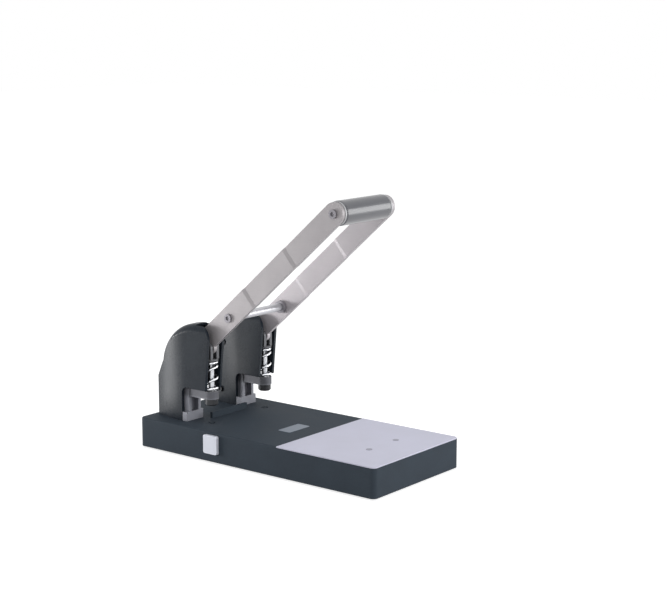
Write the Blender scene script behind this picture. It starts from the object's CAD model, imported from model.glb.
"""Studio picture of a heavy two-hole punch: finishes of its CAD pieces, wound springs, stage."""
import logging
import math
from dataclasses import dataclass, field, replace
from enum import Enum
from typing import Any

import bmesh
import bpy
from mathutils import Matrix, Vector


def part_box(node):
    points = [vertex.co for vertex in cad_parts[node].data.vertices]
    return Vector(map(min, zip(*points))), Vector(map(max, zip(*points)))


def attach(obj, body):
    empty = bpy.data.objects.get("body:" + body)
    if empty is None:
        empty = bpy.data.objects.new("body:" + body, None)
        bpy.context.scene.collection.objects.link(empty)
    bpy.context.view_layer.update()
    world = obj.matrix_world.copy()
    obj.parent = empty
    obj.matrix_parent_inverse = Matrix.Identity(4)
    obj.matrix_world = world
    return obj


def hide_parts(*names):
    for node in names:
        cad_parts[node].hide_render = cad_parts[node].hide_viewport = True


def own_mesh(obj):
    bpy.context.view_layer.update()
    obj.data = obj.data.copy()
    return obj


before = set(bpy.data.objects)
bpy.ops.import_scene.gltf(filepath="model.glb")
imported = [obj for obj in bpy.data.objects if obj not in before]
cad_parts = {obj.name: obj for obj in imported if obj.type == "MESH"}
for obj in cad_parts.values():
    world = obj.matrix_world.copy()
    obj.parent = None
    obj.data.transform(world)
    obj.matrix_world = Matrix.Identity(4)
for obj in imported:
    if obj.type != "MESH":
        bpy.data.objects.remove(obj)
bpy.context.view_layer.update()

LOG = logging.getLogger("punch_scene")
MM = 0.001
WELD_M = 1e-7
WHITE = (1.0, 1.0, 1.0, 1.0)
Colour = tuple[float, float, float]
Point = tuple[float, float, float]

# Sockets of the Mix node for colours, by number, as their names occur more than once on it
MIX_FACTOR, MIX_FIRST, MIX_SECOND, MIX_RESULT = 0, 6, 7, 2

# Values that all finishes share
NOISE_ROUGHNESS = 0.55
NOISE_MEAN = 0.5
PIT_SHARE = 0.7  # of the pits in the height of a moulded grain
STREAK_SQUEEZE = 0.02  # along the lines of a brushed grain
PATCH_DETAIL = 3.0
PATCH_TONE = 2.0  # weight of the patches against the grain in the tone
PATCH_GLOSS = 0.3  # change of the roughness over the patches, as a share
GRAIN_GLOSS = 0.2  # change of the roughness over the grain, as a share
BEVEL_SAMPLES = 4
EDGE_GAIN = 4.0  # how soon an edge shows as it turns
EDGE_SPARE = 0.3  # wear that is left where the patches have none
COAT_ROUGHNESS = 0.12


class Side(Enum):
    """The two towers, by the base's sides."""

    LEFT = "left"
    RIGHT = "right"


class Grain(Enum):
    """Fine surface of a finish."""

    MOULDED = "moulded"
    PAINTED = "painted"
    CAST = "cast"
    DRAWN = "drawn"
    SMOOTH = "smooth"


class Run(Enum):
    """Direction in which a drawn surface is brushed, as turns about X, Y and Z in degrees."""

    ACROSS = (0.0, 0.0, 0.0)
    ALONG_ARM = (-41.0, 0.0, 90.0)
    ALONG_BASE = (0.0, 0.0, 90.0)


class Wire:
    """One output socket of a material; arithmetic on it adds Math nodes."""

    def __init__(self, sheet: "NodeSheet", socket: bpy.types.NodeSocket) -> None:
        """Keeps the socket and the sheet that it is on."""
        self.sheet = sheet
        self.socket = socket

    def _math(self, operation: str, first: Any, second: Any) -> "Wire":
        """Adds one Math node.

        Args:
            operation: The Math node's operation.
            first: Its first value, a wire or a number.
            second: Its second value, a wire or a number.

        Returns:
            The node's result.
        """
        return self.sheet.node("ShaderNodeMath", {"operation": operation}, {0: first, 1: second})

    def __add__(self, other: Any) -> "Wire":
        """This plus other."""
        return self._math("ADD", self, other)

    def __radd__(self, other: Any) -> "Wire":
        """Other plus this."""
        return self._math("ADD", other, self)

    def __sub__(self, other: Any) -> "Wire":
        """This less other."""
        return self._math("SUBTRACT", self, other)

    def __rsub__(self, other: Any) -> "Wire":
        """Other less this."""
        return self._math("SUBTRACT", other, self)

    def __mul__(self, other: Any) -> "Wire":
        """This times other."""
        return self._math("MULTIPLY", self, other)

    def __rmul__(self, other: Any) -> "Wire":
        """Other times this."""
        return self._math("MULTIPLY", other, self)

    def clamped(self) -> "Wire":
        """This held between 0 and 1."""
        return self.sheet.node("ShaderNodeClamp", {}, {"Value": self})


class NodeSheet:
    """The node tree of one material or world, built from expressions."""

    def __init__(self, tree: bpy.types.NodeTree) -> None:
        """Empties the tree."""
        self.tree = tree
        tree.nodes.clear()

    def node(
        self, kind: str, settings: dict[str, Any], inputs: dict[Any, Any], out: Any = 0,
    ) -> Wire:
        """Adds one node of any type.

        Args:
            kind: The node's type.
            settings: Its own settings, set first.
            inputs: Values or wires by socket name or number.
            out: The output that is wanted.

        Returns:
            That output.
        """
        made = self.tree.nodes.new(kind)
        for key, value in settings.items():
            setattr(made, key, value)
        for key, value in inputs.items():
            if isinstance(value, Wire):
                self.tree.links.new(value.socket, made.inputs[key])
            else:
                made.inputs[key].default_value = value
        return Wire(self, made.outputs[out])

    def end(self, kind: str, shader: Wire) -> None:
        """Adds the output node of a material or world and joins the shader to it."""
        self.tree.links.new(shader.socket, self.tree.nodes.new(kind).inputs["Surface"])

    def dot(self, first: Any, second: Any) -> Wire:
        """Dot product of two vectors."""
        settings = {"operation": "DOT_PRODUCT"}
        return self.node("ShaderNodeVectorMath", settings, {0: first, 1: second}, "Value")

    def noise(self, place: Wire, size_mm: float, detail: float) -> Wire:
        """Soft noise from 0 to 1.

        Args:
            place: Object coordinates.
            size_mm: Width of its lumps.
            detail: Finer octaves in it.

        Returns:
            The noise at each place.
        """
        inputs = {
            "Vector": place,
            "Scale": 1.0 / (size_mm * MM),
            "Detail": detail,
            "Roughness": NOISE_ROUGHNESS,
        }
        return self.node("ShaderNodeTexNoise", {}, inputs)

    def mixed(self, factor: Any, first: Any, second: Any, blend: str = "MIX") -> Wire:
        """Blend of two colours.

        Args:
            factor: Share of the second colour.
            first: First colour, a wire or four numbers.
            second: Second colour, a wire or four numbers.
            blend: The Mix node's way of blending.

        Returns:
            The blended colour.
        """
        settings = {"data_type": "RGBA", "blend_type": blend}
        inputs = {MIX_FACTOR: factor, MIX_FIRST: first, MIX_SECOND: second}
        return self.node("ShaderNodeMix", settings, inputs, MIX_RESULT)

    def seen(self) -> Wire:
        """Share of the rays to which the stage is plain white: camera, glossy, transmission."""
        camera, glossy, through = (
            self.node("ShaderNodeLightPath", {}, {}, f"Is {kind} Ray")
            for kind in ("Camera", "Glossy", "Transmission")
        )
        return (camera + glossy + through).clamped()


@dataclass(frozen=True)
class Layer:
    """One noise in the height of a grain.

    Attributes:
        share: Its share of the height.
        width: Width of its lumps, as a multiple of the grain's width.
        detail: Finer octaves in it.
    """

    share: float
    width: float
    detail: float


LAYERS: dict[Grain, tuple[Layer, ...]] = {
    Grain.MOULDED: (Layer(share=0.3, width=0.6, detail=2.0),),
    Grain.PAINTED: (
        Layer(share=0.6, width=3.0, detail=1.0),
        Layer(share=0.4, width=0.5, detail=2.0),
    ),
    Grain.CAST: (
        Layer(share=0.7, width=1.0, detail=6.0),
        Layer(share=0.3, width=6.0, detail=2.0),
    ),
    Grain.DRAWN: (Layer(share=1.0, width=1.0, detail=4.0),),
    Grain.SMOOTH: (Layer(share=1.0, width=1.0, detail=3.0),),
}


@dataclass(frozen=True)
class Fade:
    """Slow change of tone along a piece.

    Attributes:
        start_mm: Point up to which the tone is the finish's own.
        end_mm: Point from which it is changed in full.
        share: The full change, as a share of the tone.
    """

    start_mm: Point
    end_mm: Point
    share: float

    def tone(self, sheet: NodeSheet, place: Wire) -> Wire:
        """Factor on the tone.

        Args:
            sheet: The material's nodes.
            place: Object coordinates.

        Returns:
            The factor at each place.
        """
        start, end = Vector(self.start_mm) * MM, Vector(self.end_mm) * MM
        way = (end - start) / (end - start).length_squared
        return 1.0 + (sheet.dot(place, way) - start.dot(way)).clamped() * self.share


@dataclass(frozen=True)
class Finish:
    """A surface with its colour, gloss, fine grain and worn edges.

    Attributes:
        name: Name of the finish.
        colour: Linear base colour.
        roughness: Mean roughness.
        metallic: Share of bare metal.
        grain: Kind of fine surface.
        grain_mm: Width of the grain.
        relief_mm: Depth of the grain.
        mottle: Share by which the tone changes over the surface.
        patch_mm: Width of those changes.
        edge_mm: Rounding of the edges.
        edge_tone: How far edges go towards the worn colour.
        worn: Colour of worn edges.
        run: Direction of a drawn grain.
        coat: Clear coat on top.
        shine: Level of the mirror-like share of a surface that isn't metal.
        fade: Slow change of tone along the piece.
    """

    name: str
    colour: Colour
    roughness: float = 0.4
    metallic: float = 0.0
    grain: Grain = Grain.SMOOTH
    grain_mm: float = 0.6
    relief_mm: float = 0.01
    mottle: float = 0.1
    patch_mm: float = 30.0
    edge_mm: float = 0.35
    edge_tone: float = 0.2
    worn: Colour = (0.5, 0.5, 0.52)
    run: Run = Run.ACROSS
    coat: float = 0.0
    shine: float = 0.5
    fade: Fade | None = None

    def _pits(self, sheet: NodeSheet, place: Wire) -> Wire:
        """Height of the rounded pits of a moulded surface.

        Args:
            sheet: The material's nodes.
            place: Object coordinates.

        Returns:
            A height from about 0 to 1.
        """
        cells = {"Vector": place, "Scale": 1.0 / (self.grain_mm * MM), "Randomness": 1.0}
        return sheet.node("ShaderNodeTexVoronoi", {"feature": "SMOOTH_F1"}, cells)

    def _brushed(self, sheet: NodeSheet, place: Wire) -> Wire:
        """Coordinates drawn out along the run, for the lines of a drawn surface.

        Args:
            sheet: The material's nodes.
            place: Object coordinates.

        Returns:
            The new coordinates.
        """
        turn = tuple(math.radians(angle) for angle in self.run.value)
        inputs = {"Vector": place, "Rotation": turn}
        along = sheet.node("ShaderNodeMapping", {"vector_type": "TEXTURE"}, inputs)
        squeeze = (STREAK_SQUEEZE, 1.0, 1.0)
        return sheet.node("ShaderNodeMapping", {}, {"Vector": along, "Scale": squeeze})

    def _relief(self, sheet: NodeSheet, place: Wire) -> Wire:
        """Height of the fine grain.

        Args:
            sheet: The material's nodes.
            place: Object coordinates.

        Returns:
            A height from about 0 to 1.
        """
        height: Any = 0.0
        if self.grain is Grain.MOULDED:
            height = self._pits(sheet, place) * PIT_SHARE
        if self.grain is Grain.DRAWN:
            place = self._brushed(sheet, place)
        for layer in LAYERS[self.grain]:
            noise = sheet.noise(place, self.grain_mm * layer.width, layer.detail)
            height = height + noise * layer.share
        return height

    def material(self) -> bpy.types.Material:
        """Builds the material.

        Returns:
            The new material.
        """
        made = bpy.data.materials.new(self.name)
        made.use_nodes = True
        sheet = NodeSheet(made.node_tree)
        place = sheet.node("ShaderNodeTexCoord", {}, {}, "Object")
        relief = self._relief(sheet, place)
        patch = sheet.noise(place, self.patch_mm, PATCH_DETAIL)
        off_relief, off_patch = relief - NOISE_MEAN, patch - NOISE_MEAN
        radius = {"Radius": self.edge_mm * MM}
        rounded = sheet.node("ShaderNodeBevel", {"samples": BEVEL_SAMPLES}, radius)
        flat = sheet.node("ShaderNodeNewGeometry", {}, {}, "Normal")
        turned = 1.0 - sheet.dot(rounded, flat)
        edge = (turned * EDGE_GAIN * (patch + EDGE_SPARE)).clamped()
        tone = 1.0 + off_patch * (PATCH_TONE * self.mottle) + off_relief * self.mottle
        if self.fade:
            tone = tone * self.fade.tone(sheet, place)
        grey = sheet.node("ShaderNodeCombineColor", {}, {0: tone, 1: tone, 2: tone})
        body = sheet.mixed(1.0, (*self.colour, 1.0), grey, "MULTIPLY")
        colour = sheet.mixed(edge * self.edge_tone, body, (*self.worn, 1.0))
        gloss = self.roughness + off_patch * (PATCH_GLOSS * self.roughness)
        gloss = gloss + off_relief * (GRAIN_GLOSS * self.roughness)
        depth = {"Strength": 1.0, "Distance": self.relief_mm * MM}
        bump = sheet.node("ShaderNodeBump", {}, {**depth, "Height": relief, "Normal": rounded})
        inputs = {
            "Base Color": colour,
            "Roughness": gloss.clamped(),
            "Metallic": self.metallic,
            "Specular IOR Level": self.shine,
            "Coat Weight": self.coat,
            "Coat Roughness": COAT_ROUGHNESS,
            "Normal": bump,
        }
        shader = sheet.node("ShaderNodeBsdfPrincipled", {}, inputs)
        sheet.end("ShaderNodeOutputMaterial", shader)
        return made


BLACK_PAINT = Finish(
    "black_paint", (0.034, 0.044, 0.056), roughness=0.62, shine=0.08,
    grain=Grain.PAINTED, grain_mm=0.8, relief_mm=0.05, mottle=0.2,
    edge_mm=0.5, edge_tone=0.12, worn=(0.12, 0.13, 0.15),
)
BLACK_PLASTIC = Finish(
    "black_plastic", (0.018, 0.022, 0.027), roughness=0.55,
    grain=Grain.MOULDED, grain_mm=0.7,
)
BLACK_RUBBER = Finish(
    "black_rubber", (0.01, 0.01, 0.011), roughness=0.75,
    grain=Grain.CAST, grain_mm=0.6, relief_mm=0.03,
)
ZINC_SCREW = Finish(
    "zinc_screw", (0.42, 0.43, 0.45), roughness=0.32, metallic=1.0,
    grain_mm=0.5, relief_mm=0.006, edge_mm=0.15,
)
DARK_SCREW = Finish(
    "dark_screw", (0.03, 0.031, 0.035), roughness=0.38, metallic=0.6,
    grain_mm=0.4, relief_mm=0.006, edge_mm=0.2,
)
PLATE_SCREW = replace(
    DARK_SCREW, name="plate_screw", colour=(0.27, 0.27, 0.33), roughness=0.4, metallic=0.3,
)
DULL_SCREW = replace(
    DARK_SCREW, name="dull_screw", colour=(0.22, 0.21, 0.23), roughness=0.42, metallic=0.5,
)
PALE_PLATE = Finish(
    "pale_plate", (0.5, 0.5, 0.6), roughness=0.48, metallic=0.1,
    grain=Grain.DRAWN, grain_mm=0.45, patch_mm=40.0, run=Run.ALONG_BASE,
    edge_mm=0.25, edge_tone=0.15, worn=(0.75, 0.75, 0.78),
)
PALE_BADGE = Finish(
    "pale_badge", (0.12, 0.15, 0.195), roughness=0.4, metallic=0.2,
    grain=Grain.DRAWN, grain_mm=0.3, relief_mm=0.003, edge_mm=0.2,
)
PALE_NYLON = Finish(
    "pale_nylon", (0.62, 0.64, 0.68), roughness=0.38,
    grain=Grain.MOULDED, grain_mm=0.5, relief_mm=0.006, mottle=0.05,
)
CAST_METAL = Finish(
    "cast_metal", (0.22, 0.225, 0.255), roughness=0.5, metallic=0.45,
    grain=Grain.CAST, grain_mm=0.9, relief_mm=0.08, mottle=0.25, patch_mm=18.0,
    edge_mm=0.5, edge_tone=0.35, worn=(0.7, 0.7, 0.72),
    fade=Fade(start_mm=(0.0, 0.0, 54.0), end_mm=(0.0, 0.0, 58.0), share=-0.57),
)
BLACKENED_BUSH = Finish(
    "blackened_bush", (0.03, 0.031, 0.034), roughness=0.35, metallic=0.5,
    grain=Grain.DRAWN, grain_mm=0.25, relief_mm=0.005, edge_mm=0.25,
)
GROUND_STEEL = Finish(
    "ground_steel", (0.55, 0.56, 0.58), roughness=0.28, metallic=1.0,
    grain=Grain.DRAWN, grain_mm=0.25, relief_mm=0.004, edge_mm=0.2,
)
HOOD_PLASTIC = Finish(
    "hood_plastic", (0.0122, 0.017, 0.0238), roughness=0.28, shine=0.175,
    grain=Grain.MOULDED, grain_mm=0.7, relief_mm=0.016, mottle=0.2,
    edge_mm=0.6, edge_tone=0.06, worn=(0.15, 0.15, 0.18),
)
SPRING_WIRE = Finish(
    "spring_wire", (0.82, 0.83, 0.86), roughness=0.16, metallic=1.0,
    grain_mm=0.4, relief_mm=0.003, mottle=0.05,
)
ARM_FADE = Fade(start_mm=(0.0, 60.0, 130.0), end_mm=(0.0, -75.0, 252.0), share=-0.25)
ARM_STEEL = Finish(
    "arm_steel", (0.44, 0.412, 0.43), roughness=0.45, metallic=0.3,
    grain=Grain.DRAWN, grain_mm=0.45, relief_mm=0.012, mottle=0.16, patch_mm=35.0,
    run=Run.ALONG_ARM, edge_mm=0.5, edge_tone=0.3, worn=(0.8, 0.78, 0.8), fade=ARM_FADE,
)
HANDLED_ARM = replace(
    ARM_STEEL, name="handled_arm", colour=(0.335, 0.315, 0.323),
    fade=replace(ARM_FADE, share=-0.12),
)
POLISHED_ROD = Finish(
    "polished_rod", (0.5, 0.5, 0.525), roughness=0.45, metallic=1.0,
    grain_mm=0.5, relief_mm=0.002, mottle=0.04,
)
DULL_CLEVIS = Finish(
    "dull_clevis", (0.1, 0.102, 0.11), roughness=0.45, metallic=0.5,
    grain=Grain.DRAWN, grain_mm=0.25, relief_mm=0.006, edge_mm=0.25,
)
DARK_GRIP = Finish(
    "dark_grip", (0.06, 0.062, 0.072), roughness=0.3, coat=0.45,
    grain=Grain.MOULDED, grain_mm=0.9, relief_mm=0.02, mottle=0.2,
)
LIGHT_COLLAR = Finish(
    "light_collar", (0.34, 0.34, 0.35), roughness=0.5, metallic=0.4,
    grain=Grain.DRAWN, grain_mm=0.3, relief_mm=0.004, edge_mm=0.3,
)
GUIDE_PLASTIC = Finish(
    "guide_plastic", (0.66, 0.68, 0.75), roughness=0.3,
    grain=Grain.MOULDED, grain_mm=0.6, relief_mm=0.006, mottle=0.04,
)


class Wardrobe:
    """Materials made so far, one for each finish."""

    def __init__(self) -> None:
        """Starts with none."""
        self.made: dict[str, bpy.types.Material] = {}

    def of(self, finish: Finish) -> bpy.types.Material:
        """The material of a finish, built on first use.

        Args:
            finish: The finish.

        Returns:
            Its material.
        """
        if finish.name not in self.made:
            self.made[finish.name] = finish.material()
        return self.made[finish.name]

    def dress(self, node: str, finish: Finish) -> None:
        """Gives a CAD node its finish.

        Args:
            node: Name of the node.
            finish: Its new finish.
        """
        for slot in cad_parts[node].material_slots:
            slot.material = self.of(finish)
        LOG.info("%s: %s", node, finish.name)


@dataclass
class ReturnSpring:
    """Spring round a punch, with closed and ground ends.

    Attributes:
        side: The tower that it is in.
        wire_mm: Thickness of the wire.
        coil_mm: Diameter over the middle of the wire.
        open_turns: Turns between the closed ends.
        closed_turns: Turns that lie close at each end.
        closed_pitch: Rise of a closed turn, as a multiple of the wire's thickness.
        ground: Share of the wire that is left under the first centre line after grinding.
        turn_steps: Pieces in one turn.
        ring_sides: Sides of the wire.
        stroke_mm: Way by which the punch shortens it.
    """

    side: Side
    wire_mm: float = 2.4
    coil_mm: float = 12.0
    open_turns: int = 2
    closed_turns: int = 1
    closed_pitch: float = 1.03
    ground: float = 0.35
    turn_steps: int = 40
    ring_sides: int = 14
    stroke_mm: float = 19.44

    @property
    def node(self) -> str:
        """The CAD node that it stands for."""
        return f"{self.side.value}_return_spring"

    def _wind(
        self, shape: bmesh.types.BMesh, ring: list, axis: Vector, turns: int, rise: float,
    ) -> list:
        """Winds the wire on.

        Args:
            shape: The mesh.
            ring: Vertices and edges of the wire's open end.
            axis: A point on the spring's axis.
            turns: Number of turns.
            rise: Rise of the whole stretch, in metres.

        Returns:
            Vertices and edges of the new open end.
        """
        steps = turns * self.turn_steps
        wound = bmesh.ops.spin(
            shape, geom=ring, cent=axis, axis=(0, 0, 1), dvec=(0, 0, rise / steps),
            angle=math.tau * turns, steps=steps, use_merge=False,
        )
        return wound["geom_last"]

    def _fill(self, shape: bmesh.types.BMesh) -> None:
        """Closes the open ends."""
        open_edges = [edge for edge in shape.edges if edge.is_boundary]
        bmesh.ops.holes_fill(shape, edges=open_edges, sides=0)

    def _mesh(self, low: Vector, high: Vector, axis: Vector) -> bpy.types.Mesh:
        """Winds the wire from seat to seat and grinds its ends.

        Args:
            low: Lowest corner of the CAD spring.
            high: Highest corner of the CAD spring.
            axis: A point on the spring's axis.

        Returns:
            The closed mesh.
        """
        wire = self.wire_mm * MM
        start = low.z + self.ground * wire
        close = self.closed_pitch * wire * self.closed_turns
        middle = high.z - low.z - 2 * self.ground * wire - 2 * close
        shape = bmesh.new()
        stand = Matrix.Translation((axis.x + self.coil_mm * MM / 2, axis.y, start))
        stand = stand @ Matrix.Rotation(math.pi / 2, 4, "X")
        first = bmesh.ops.create_circle(
            shape, cap_ends=False, segments=self.ring_sides, radius=wire / 2, matrix=stand,
        )
        ring = first["verts"] + shape.edges[:]
        end = (self.closed_turns, close)
        for turns, rise in (end, (self.open_turns, middle), end):
            ring = self._wind(shape, ring, axis, turns, rise)
        bmesh.ops.remove_doubles(shape, verts=shape.verts, dist=WELD_M)
        self._fill(shape)
        for level, normal in ((low.z, (0, 0, -1)), (high.z, (0, 0, 1))):
            whole = shape.verts[:] + shape.edges[:] + shape.faces[:]
            bmesh.ops.bisect_plane(
                shape, geom=whole, plane_co=(0, 0, level), plane_no=normal, clear_outer=True,
            )
            self._fill(shape)
        bmesh.ops.recalc_face_normals(shape, faces=shape.faces)
        for face in shape.faces:
            face.smooth = len(face.verts) == 4  # the ground ends stay flat
        mesh = bpy.data.meshes.new(f"{self.side.value}_wound_spring")
        shape.to_mesh(mesh)
        shape.free()
        return mesh

    def build(self, wardrobe: Wardrobe) -> bpy.types.Object:
        """Puts the spring in the CAD spring's place.

        Args:
            wardrobe: Materials.

        Returns:
            The finished piece.
        """
        low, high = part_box(self.node)
        axis = Vector(((low.x + high.x) / 2, (low.y + high.y) / 2, 0))
        mesh = self._mesh(low, high, axis)
        mesh.materials.append(wardrobe.of(SPRING_WIRE))
        piece = bpy.data.objects.new(mesh.name, mesh)
        bpy.context.scene.collection.objects.link(piece)
        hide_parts(self.node)
        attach(piece, "base")
        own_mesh(piece)
        LOG.info("%s: %d faces", piece.name, len(mesh.polygons))
        return piece


@dataclass
class Unit:
    """CAD pieces that are dressed together.

    Attributes:
        finishes: Finish of each piece, by the name of its CAD node.
    """

    finishes: dict[str, Finish]

    def dress(self, wardrobe: Wardrobe) -> None:
        """Gives every piece its finish."""
        for node, finish in self.finishes.items():
            wardrobe.dress(node, finish)


@dataclass
class BaseUnit(Unit):
    """The low base with its plate, badge, feet, paper guide and the fasteners of both towers."""

    finishes: dict[str, Finish] = field(default_factory=lambda: {
        "base_shell": BLACK_PAINT,
        "bottom_cover": BLACK_PLASTIC,
        "rubber_feet": BLACK_RUBBER,
        "cover_screws": ZINC_SCREW,
        "front_plate": PALE_PLATE,
        "plate_screws": PLATE_SCREW,
        "badge_plate": PALE_BADGE,
        "guide_track": BLACK_PLASTIC,
        "track_screws": ZINC_SCREW,
        "stand_screws": ZINC_SCREW,
        "fulcrum_clips": DARK_SCREW,
        "fulcrum_washers": PALE_NYLON,
        "hood_screws": DARK_SCREW,
        "guide_bar": GROUND_STEEL,
        "guide_end": GUIDE_PLASTIC,
        "guide_rivets": ZINC_SCREW,
    })


@dataclass
class PunchTower(Unit):
    """One hooded tower with its punch.

    Attributes:
        spring: Its return spring.
    """

    spring: ReturnSpring

    @classmethod
    def on(cls, side: Side) -> "PunchTower":
        """The tower of one side.

        Args:
            side: Left or right.

        Returns:
            The tower.
        """
        pieces = {
            "cutting_disc": BLACK_PAINT,
            "stand": CAST_METAL,
            "guide_bush": BLACKENED_BUSH,
            "fulcrum_pin": GROUND_STEEL,
            "stop_pin": GROUND_STEEL,
            "outer_hood": HOOD_PLASTIC,
            "inner_hood": HOOD_PLASTIC,
            "punch_tube": GROUND_STEEL,
            "punch_clevis": DULL_CLEVIS,
            "link_pin": GROUND_STEEL,
            "link_clip": DARK_SCREW,
        }
        finishes = {f"{side.value}_{piece}": finish for piece, finish in pieces.items()}
        return cls(finishes, ReturnSpring(side))

    def build(self, wardrobe: Wardrobe) -> None:
        """Winds the tower's spring."""
        self.spring.build(wardrobe)


@dataclass
class LeverUnit(Unit):
    """The two arms, their tie bar and the grip."""

    finishes: dict[str, Finish] = field(default_factory=lambda: {
        "left_arm": HANDLED_ARM,
        "right_arm": ARM_STEEL,
        "tie_bar": POLISHED_ROD,
        "tie_collars": DULL_SCREW,
        "tie_screws": DULL_SCREW,
        "grip_rod": GROUND_STEEL,
        "grip_sleeve": DARK_GRIP,
        "grip_collars": LIGHT_COLLAR,
        "grip_screws": DULL_SCREW,
    })


@dataclass(frozen=True)
class Lamp:
    """One soft rectangular lamp.

    Attributes:
        name: Name of the lamp.
        place_mm: Its place.
        aim_mm: The point that it faces.
        size_mm: Its width and height.
        watts: Its power.
    """

    name: str
    place_mm: Point
    aim_mm: Point
    size_mm: tuple[float, float]
    watts: float

    def hang(self) -> None:
        """Adds the lamp to the scene."""
        data = bpy.data.lights.new(self.name, "AREA")
        data.shape = "RECTANGLE"
        data.size, data.size_y = (side * MM for side in self.size_mm)
        data.energy = self.watts
        holder = bpy.data.objects.new(self.name, data)
        holder.location = Vector(self.place_mm) * MM
        away = Vector(self.place_mm) - Vector(self.aim_mm)
        holder.rotation_euler = away.to_track_quat("Z", "Y").to_euler()
        bpy.context.scene.collection.objects.link(holder)


MIDDLE_MM = (0.0, 40.0, 80.0)
LAMPS = (
    Lamp("top_softbox", (-200.0, -100.0, 1500.0), MIDDLE_MM, (1300.0, 1300.0), 7.0),
    Lamp("rear_softbox", (-390.0, 925.0, 82.0), (-50.0, 110.0, 80.0), (360.0, 150.0), 5.0),
    Lamp("low_card", (-269.0, 525.0, 40.0), (-222.0, 437.0, 1040.0), (70.0, 620.0), 0.88),
    Lamp("front_softbox", (1100.0, -950.0, 360.0), (0.0, -60.0, 200.0), (700.0, 700.0), 6.5),
    Lamp("side_fill", (-1500.0, -200.0, 700.0), MIDDLE_MM, (1200.0, 1200.0), 2.0),
    Lamp("front_fill", (200.0, -1500.0, 420.0), MIDDLE_MM, (800.0, 800.0), 9.0),
)


@dataclass
class Studio:
    """Floor, world, lamps and camera.

    Attributes:
        azimuth: Direction from which the camera looks, in degrees.
        elevation: Height of the camera over the horizon, in degrees.
        distance_mm: Distance from the camera to the point that it looks at.
        focus_mm: That point.
        lens: Focal length for the sensor, in millimetres.
        sensor: Width of the sensor, in millimetres.
        reach_m: Distance up to which the camera sees.
        floor_m: Half the floor's width.
        floor_grey: Tone of the floor in the light.
        floor_glow: Strength of the white that is added to it where it is seen.
        glow_share: Share of that white.
        even_tint: Colour of the world's even light.
        even_strength: Strength of that light.
        lamps: The lamps.
    """

    azimuth: float = -51.63
    elevation: float = 10.32
    distance_mm: float = 1579.1
    focus_mm: Point = (58.8, -1.0, 147.6)
    lens: float = 85.48
    sensor: float = 36.0
    reach_m: float = 50.0
    floor_m: float = 6.0
    floor_grey: float = 0.8
    floor_glow: float = 2.12
    glow_share: float = 0.35
    even_tint: Colour = (0.97, 0.98, 1.0)
    even_strength: float = 0.55
    lamps: tuple[Lamp, ...] = LAMPS

    def camera(self) -> None:
        """Sets the camera up at the photograph's angle."""
        turn, lift = math.radians(self.azimuth), math.radians(self.elevation)
        back = Vector((
            math.sin(turn) * math.cos(lift), -math.cos(turn) * math.cos(lift), math.sin(lift),
        ))
        data = bpy.data.cameras.new("studio_camera")
        data.lens = self.lens
        data.sensor_width = self.sensor
        data.sensor_fit = "HORIZONTAL"
        data.clip_end = self.reach_m
        holder = bpy.data.objects.new("studio_camera", data)
        holder.location = Vector(self.focus_mm) * MM + back * self.distance_mm * MM
        holder.rotation_euler = back.to_track_quat("Z", "Y").to_euler()
        bpy.context.scene.collection.objects.link(holder)
        bpy.context.scene.camera = holder

    def floor(self) -> None:
        """Lays a plain pale floor."""
        shape = bmesh.new()
        bmesh.ops.create_grid(shape, x_segments=1, y_segments=1, size=self.floor_m)
        mesh = bpy.data.meshes.new("studio_floor")
        shape.to_mesh(mesh)
        shape.free()
        paint = bpy.data.materials.new("floor_white")
        paint.use_nodes = True
        sheet = NodeSheet(paint.node_tree)
        share = sheet.seen() * self.glow_share
        grey = (self.floor_grey, self.floor_grey, self.floor_grey, 1.0)
        matt = sheet.node("ShaderNodeBsdfDiffuse", {}, {"Color": grey})
        white = {"Color": WHITE, "Strength": self.floor_glow}
        glow = sheet.node("ShaderNodeEmission", {}, white)
        both = sheet.node("ShaderNodeMixShader", {}, {0: share, 1: matt, 2: glow})
        sheet.end("ShaderNodeOutputMaterial", both)
        mesh.materials.append(paint)
        holder = bpy.data.objects.new("studio_floor", mesh)
        bpy.context.scene.collection.objects.link(holder)

    def world(self) -> None:
        """Lights the scene evenly and shows a white background."""
        world = bpy.data.worlds.new("studio_world")
        world.use_nodes = True
        bpy.context.scene.world = world
        sheet = NodeSheet(world.node_tree)
        light = {"Color": (*self.even_tint, 1.0), "Strength": self.even_strength}
        even = sheet.node("ShaderNodeBackground", {}, light)
        white = sheet.node("ShaderNodeBackground", {}, {"Color": WHITE, "Strength": 1.0})
        both = sheet.node("ShaderNodeMixShader", {}, {0: sheet.seen(), 1: even, 2: white})
        sheet.end("ShaderNodeOutputWorld", both)

    def build(self) -> None:
        """Sets the whole stage."""
        bpy.context.scene.view_settings.view_transform = "Standard"
        self.camera()
        self.floor()
        self.world()
        for lamp in self.lamps:
            lamp.hang()


def main() -> None:
    """Builds the scene and notes the sizes of the CAD and the dressed model."""
    logging.basicConfig(level=logging.INFO, format="%(name)s %(message)s")
    wardrobe = Wardrobe()
    Studio().build()
    BaseUnit().dress(wardrobe)
    for side in Side:
        tower = PunchTower.on(side)
        tower.dress(wardrobe)
        tower.build(wardrobe)
    LeverUnit().dress(wardrobe)


if __name__ == "__main__":
    main()
